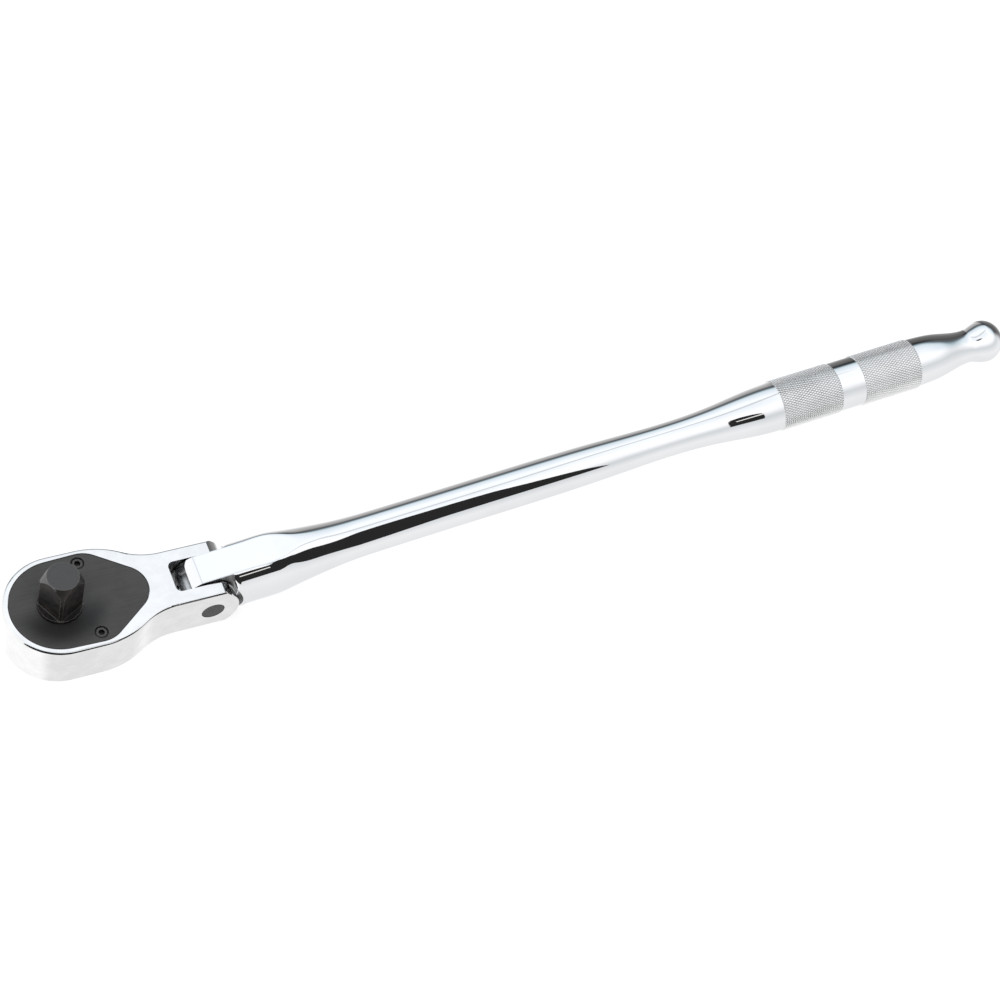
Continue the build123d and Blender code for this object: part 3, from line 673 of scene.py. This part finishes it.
def chrome_finish():
    """Handle chrome. The tongue's sides and the shoulders behind the ears are rougher and painted dark grey as shade,
    and a painted grey shade line runs where the tongue's flat meets its rounded end.
    """
    f = Finish("chrome", 1.0)
    colour, rough = polish(f, 0.955, 0.925, 0.012, 0.03, 26.0)
    x = f.axis((1, 0, 0), PIN / MM)
    from_pin = f.vector("LENGTH", f.vector("MULTIPLY", f.vector("SUBTRACT", f.place, tuple(PIN / MM)), (1, 0, 1)))
    side = f.math("ABSOLUTE", f.vector("DOT_PRODUCT", f.normal, (0, 1, 0)))
    # Painted shade: the tongue's sides inside the fork and the shoulder rims behind the ears get a dark grey colour as
    # well as more roughness.
    shaded_blade_side = f.math("MULTIPLY", f.above(side, 0.7, 0.1), f.below(x, 10.9, 0.1))
    ring = f.math("MULTIPLY", f.below(from_pin, SCALLOP_RADIUS + 0.06, 0.04), f.above(f.across(), 6.5, 0.1))
    dull = f.math("MAXIMUM", shaded_blade_side, ring)
    crease_x = TONGUE_END_CENTRE_X - math.sqrt(TONGUE_END_RADIUS ** 2 - TONGUE_HALF_HEIGHT ** 2)
    from_crease = f.math("ABSOLUTE", f.math("SUBTRACT", x, crease_x))
    # Painted shade: a thin grey line painted where the tongue's flat meets its rounded end.
    crease_shade_line = f.math("MULTIPLY", f.below(from_crease, 0.22, 0.16), f.below(side, 0.5, 0.1))
    colour = f.mix(f.math("MULTIPLY", crease_shade_line, 0.75), colour, grey(0.66, (0.97, 0.98, 1.02)))
    # Mottled dark grey of that painted shade.
    shade_mottle = f.ramp(f.noise(5.0, 2.0, 0.5, seed=33), 0.35, 0.7)
    f.set("Base Color", f.mix(dull, colour, f.mix(shade_mottle, grey(0.22), grey(0.36))))
    f.set("Roughness", f.mix(dull, rough, grey(0.38)))
    return f.material


def knurl_finish():
    """Knurled chrome, painted blotchy grey in the grooves as shade and rougher there."""
    f = Finish("chrome_knurl", 0.85)
    offset = f.vector("MULTIPLY", f.vector("SUBTRACT", f.place, tuple(PIN / MM)), (0, 1, 1))
    # Painted shade: colour goes from near-white at the diamonds' tops to blotchy grey at the groove roots.
    depth = f.ramp(f.vector("LENGTH", offset), KNURL_ROOT, KNURL_TIP - 0.05)
    groove_shade_mottle = f.noise(9.0, 4.0, 0.6, seed=3)
    low = f.mix(f.ramp(groove_shade_mottle, 0.3, 0.7), grey(0.50, (1.01, 1.0, 0.99)), grey(0.68))
    f.set("Base Color", f.mix(depth, low, grey(0.97)))
    f.set("Roughness", f.ramp(depth, 0, 1, 0.42, 0.24))
    f.bump(f.noise(0.2, 2.0, seed=4), 0.003)
    return f.material


def chrome_head_finish():
    """Head chrome over a forging: softly clouded outside; in the slot rougher and painted dark grey as shade, with a
    painted pale patch at the slot's end.
    """
    f = Finish("chrome_head", 1.0)
    colour, rough = polish(f, 0.925, 0.865, 0.05, 0.11, 6.0, seed=20, tint=(0.998, 1.0, 1.004))
    place = f.in_head()
    x, y, _ = f.node("ShaderNodeSeparateXYZ", {0: place}).outputs
    across = f.math("ABSOLUTE", y)
    # Painted shade: the slot's walls, but not faces that look up or down, are painted mottled dark grey.
    slot = f.math("MULTIPLY", f.below(across, 6.97, 0.03), f.above(x, 44.9, 0.05))
    facing_up = f.math("ABSOLUTE", f.vector("DOT_PRODUCT", f.normal, tuple(UP)))
    slot = f.math("MULTIPLY", slot, f.below(facing_up, 0.5, 0.2))
    shade_mottle = f.ramp(f.noise(6.0, 3.0, 0.5, stretch=(1, 1, 3), place=place, seed=31), 0.35, 0.7)
    slot_painted_shade = f.mix(shade_mottle, grey(0.17), grey(0.36))
    # Painted light: a pale grey patch at the slot's end, away from the far side, as a painted reflection of the white
    # tent.
    slot_painted_shade = f.mix(f.math("MULTIPLY", f.below(x, 47.0, 1.6), f.below(y, 4.0, 3.0)), slot_painted_shade, grey(0.85))
    f.set("Base Color", f.mix(slot, colour, slot_painted_shade))
    f.set("Roughness", f.mix(slot, rough, grey(0.36)))
    f.bump(f.noise(8.0, 3.0, 0.5, seed=24), 0.009)
    f.bump(f.noise(1.6, 2.0, 0.5, seed=27), 0.0006)
    return f.material


def black_oxide_finish():
    """Ground plate, blackened: fine grain along the head, faint clouds, and a painted shade round the drive, darkest
    on its near side.
    """
    f = Finish("black_oxide", 0.0, Specular_IOR_Level=0.42)
    place = f.in_head()
    _, y, _ = f.node("ShaderNodeSeparateXYZ", {0: place}).outputs
    grain = f.noise(0.16, 3.0, 0.7, stretch=(40, 1, 1), place=place, seed=1)
    coarse = f.noise(0.7, 3.0, 0.6, stretch=(22, 1, 1), place=place, seed=2)
    cloud = f.ramp(f.noise(11.0, 4.0, 0.6, place=place, seed=3), 0.3, 0.72)
    speck = f.above(f.noise(0.42, 0.0, 0.5, place=place, seed=6), 0.83, 0.015)
    from_axis = f.vector("LENGTH", f.vector("MULTIPLY", place, (1, 1, 0)))
    # Painted shade: near-black round the drive's foot on its near side, standing in for the drive's shadow on the
    # plate.
    painted_drive_shade = f.math("MULTIPLY", f.below(from_axis, 17.0, 4.5), f.below(y, -3.0, 6.0))
    level = f.mix(f.ramp(coarse, 0.3, 0.7), grey(0.052, WARM), grey(0.068, WARM))
    level = f.mix(f.math("MULTIPLY", cloud, 0.5), level, grey(0.069, WARM))
    level = f.mix(f.math("MULTIPLY", f.ramp(grain, 0.45, 0.75), 0.22), level, grey(0.095))
    level = f.mix(f.math("MULTIPLY", painted_drive_shade, 0.88), level, grey(0.006))
    level = f.mix(f.math("MULTIPLY", speck, 0.5), level, grey(0.15))
    f.set("Base Color", f.mix(f.math("MULTIPLY", f.edge(0.12), 0.35), level, grey(0.20, WARM)))
    f.set("Roughness", f.ramp(cloud, 0, 1, 0.50, 0.38))
    f.bump(grain, 0.004)
    f.bump(coarse, 0.003)
    return f.material


def black_drive_finish():
    """Machined and blackened drive: a paler end with turning marks, painted paler still as light on the face that
    looks up; brown-mottled dark sides, with painted light on the slopes facing away from the handle; edges worn by
    sockets.
    """
    f = Finish("black_oxide_drive", 0.0, Specular_IOR_Level=0.38)
    place = f.in_head()
    _, _, z = f.node("ShaderNodeSeparateXYZ", {0: place}).outputs
    from_axis = f.vector("LENGTH", f.vector("MULTIPLY", place, (1, 1, 0)))
    rings = f.node("ShaderNodeTexNoise", {"Vector": f.node("ShaderNodeCombineXYZ", {0: from_axis}).outputs[0],
                                          "Scale": 1.3, "Detail": 4.0, "Roughness": 0.7}).outputs[0]
    facing_up = f.vector("DOT_PRODUCT", f.normal, tuple(UP))
    on_end = f.math("MULTIPLY", f.above(facing_up, 0.97, 0.01), f.above(z, 12.0, 1.0))
    slanted = f.math("MULTIPLY", f.above(facing_up, 0.25, 0.1), f.below(facing_up, 0.97, 0.01))
    # Painted light: slanted faces that face away from the handle are painted a lighter grey.
    lit_slopes = f.above(f.vector("DOT_PRODUCT", f.normal, tuple(-ALONG)), 0.60, 0.1)
    mottle = f.ramp(f.noise(2.2, 5.0, 0.65, place=place, seed=12), 0.3, 0.7)
    streak = f.ramp(f.noise(0.5, 3.0, 0.6, stretch=(1, 1, 14), place=place, seed=14), 0.35, 0.75)
    patch = f.ramp(f.noise(5.0, 3.0, 0.55, place=place, seed=15), 0.42, 0.72)
    level = f.mix(mottle, grey(0.003, WARM), grey(0.008, (1.12, 0.96, 0.9)))
    level = f.mix(f.math("MULTIPLY", streak, 0.3), level, grey(0.016, (1.1, 0.97, 0.9)))
    level = f.mix(f.math("MULTIPLY", patch, 0.5), level, grey(0.035, (1.2, 0.96, 0.84)))
    # The end's turned finish, made much paler than the sides partly as painted light on the face that looks up.
    end = f.mix(f.ramp(rings, 0.35, 0.7), grey(0.064), grey(0.078))
    end = f.mix(f.math("MULTIPLY", mottle, 0.4), end, grey(0.098))
    level = f.mix(f.math("MULTIPLY", slanted, f.math("MULTIPLY", lit_slopes, 0.9)), level, grey(0.11))
    level = f.mix(on_end, level, end)
    chips = f.ramp(f.noise(1.1, 4.0, 0.6, place=place, seed=16), 0.30, 0.58)
    worn = f.math("MULTIPLY", f.edge(0.4), chips)
    f.set("Base Color", f.mix(f.math("MULTIPLY", worn, 0.85), level, grey(0.30, (1.10, 0.98, 0.9))))
    f.set("Roughness", f.ramp(mottle, 0, 1, 0.36, 0.52))
    f.bump(f.math("MULTIPLY", on_end, rings), 0.012)
    f.bump(f.noise(0.5, 3.0, 0.6, place=place, seed=18), 0.006)
    return f.material


def black_screw_finish():
    """Blackened screws, rubbed on the head's face and on its edges, with painted shade deep in the socket."""
    f = Finish("black_screw", 0.25)
    place = f.in_head()
    mottle = f.ramp(f.noise(0.8, 4.0, 0.6, place=place, seed=41), 0.3, 0.7)
    level = f.mix(mottle, grey(0.055), grey(0.095, WARM))
    level = f.mix(f.math("MULTIPLY", f.edge(0.12), 0.7), level, grey(0.30, WARM))
    # Painted shade: the socket below that height is near-black.
    f.set("Base Color", f.mix(f.below(f.axis(UP), SOCKET_SHADE_BELOW, 0.15), level, grey(0.006)))
    f.set("Roughness", f.ramp(mottle, 0, 1, 0.34, 0.5))
    f.bump(f.noise(0.25, 3.0, seed=43), 0.004)
    return f.material


def dark_pin_finish():
    """Ground pin end with a mottled dark finish and faint turning marks."""
    f = Finish("dark_pin", 0.6)
    from_pin = f.vector("LENGTH", f.vector("MULTIPLY", f.vector("SUBTRACT", f.place, tuple(PIN / MM)), (1, 0, 1)))
    mottle = f.ramp(f.noise(1.3, 5.0, 0.65, seed=51), 0.3, 0.7)
    f.set("Base Color", f.mix(mottle, grey(0.045), grey(0.105)))
    f.set("Roughness", f.ramp(mottle, 0, 1, 0.42, 0.58))
    rings = f.node("ShaderNodeTexNoise", {"Vector": f.node("ShaderNodeCombineXYZ", {0: from_pin}).outputs[0],
                                          "Scale": 4.0, "Detail": 2.0}).outputs[0]
    f.bump(rings, 0.006)
    f.bump(f.noise(0.35, 3.0, seed=53), 0.006)
    return f.material


def steel_finish(name, low, high, shine, dull, tint=COOL, size=1.5, seed=60):
    """Bare steel, oiled or greased, with clouding and fine grinding lines."""
    f = Finish(name, 1.0)
    cloud = f.ramp(f.noise(size, 4.0, 0.6, seed=seed), 0.3, 0.7)
    f.set("Base Color", f.mix(cloud, grey(low, tint), grey(high, tint)))
    f.set("Roughness", f.ramp(cloud, 0, 1, dull, shine))
    f.bump(f.noise(0.15, 2.0, stretch=(8, 1, 1), seed=seed + 1), 0.002)
    return f.material


def bright_steel_finish():
    return steel_finish("bright_steel", 0.55, 0.72, 0.10, 0.22, size=1.0, seed=61)


def spring_steel_finish():
    return steel_finish("spring_steel", 0.26, 0.42, 0.28, 0.42, tint=(1.03, 1.0, 0.96), seed=63)


def hardened_steel_finish():
    return steel_finish("hardened_steel", 0.17, 0.30, 0.28, 0.45, tint=(1.02, 1.0, 0.97), seed=65)


def bronze_finish():
    return steel_finish("bronze", 0.44, 0.60, 0.25, 0.40, tint=(1.05, 0.78, 0.45), seed=67)


def seal_rubber_finish():
    """Matt rubber with a fine moulded grain and a trace of grease."""
    f = Finish("seal_rubber", 0.0, Specular_IOR_Level=0.35)
    grease = f.ramp(f.noise(2.5, 3.0, seed=71), 0.4, 0.7)
    f.set("Base Color", f.mix(grease, grey(0.012), grey(0.02, WARM)))
    f.set("Roughness", f.ramp(grease, 0, 1, 0.75, 0.45))
    f.bump(f.noise(0.12, 2.0, seed=73), 0.006)
    return f.material


def lever_black_finish():
    """Blackened cast lever: fine sand texture, thumb-polished and worn along its edges."""
    f = Finish("lever_black", 0.25)
    place = f.in_head()
    mottle = f.ramp(f.noise(3.5, 4.0, 0.6, place=place, seed=81), 0.3, 0.7)
    worn = f.math("MULTIPLY", f.edge(0.3), f.ramp(f.noise(1.4, 4.0, 0.6, place=place, seed=84), 0.35, 0.65))
    level = f.mix(mottle, grey(0.020), grey(0.036, WARM))
    f.set("Base Color", f.mix(f.math("MULTIPLY", worn, 0.6), level, grey(0.20, WARM)))
    f.set("Roughness", f.ramp(mottle, 0, 1, 0.36, 0.52))
    f.bump(f.noise(0.3, 3.0, 0.6, place=place, seed=86), 0.012)
    return f.material


FINISHES = {"chrome": chrome_finish, "chrome_head": chrome_head_finish, "black_oxide": black_oxide_finish,
            "black_oxide_drive": black_drive_finish, "black_screw": black_screw_finish, "dark_pin": dark_pin_finish,
            "bright_steel": bright_steel_finish, "spring_steel": spring_steel_finish,
            "hardened_steel": hardened_steel_finish, "bronze": bronze_finish, "seal_rubber": seal_rubber_finish,
            "lever_black": lever_black_finish}

make_camera()
make_world()
make_floor()
make_cards()
finishes = {slot: make() for slot, make in FINISHES.items()}
for subpart in frame["record"]["subparts"]:
    for slot in nodes[subpart["node"]].material_slots:
        slot.material = finishes[subpart["material_slot"]]
make_handle(finishes["chrome"], knurl_finish())
